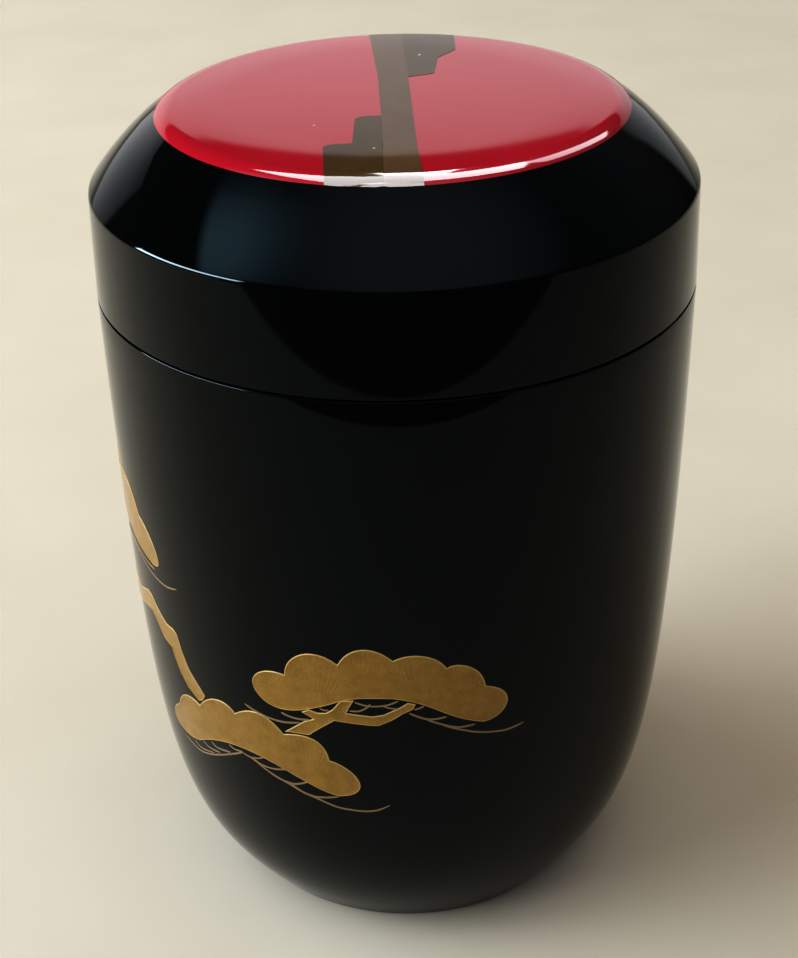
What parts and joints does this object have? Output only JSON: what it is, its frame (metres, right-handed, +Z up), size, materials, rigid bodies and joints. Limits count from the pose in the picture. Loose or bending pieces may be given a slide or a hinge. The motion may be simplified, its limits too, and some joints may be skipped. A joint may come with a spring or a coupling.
{
  "type": "tea caddy",
  "caption": "Tall turned tea caddy with a rounded belly and a chamfered lift-off lid, in polished black lacquer with a red top and gold pine boughs.",
  "frame": {"origin": "centre of the underside, on the surface that the caddy stands on", "axes": "+Z up along the turning axis; -Y faces the viewer of the picture and +X is to that viewer's right"},
  "size_m": [0.0664, 0.0664, 0.0957],
  "materials": {
    "black_lacquer": "polished black lacquer on turned wood",
    "red_lacquer": "polished deep red lacquer, on the lid's top only",
    "gold_lacquer": "gold powder laid in lacquer, satin, for the painted pine and the band"
  },
  "bodies": {
    "root": {"container": "black_lacquer", "lid": "black_lacquer"}
  },
  "joints": []
}
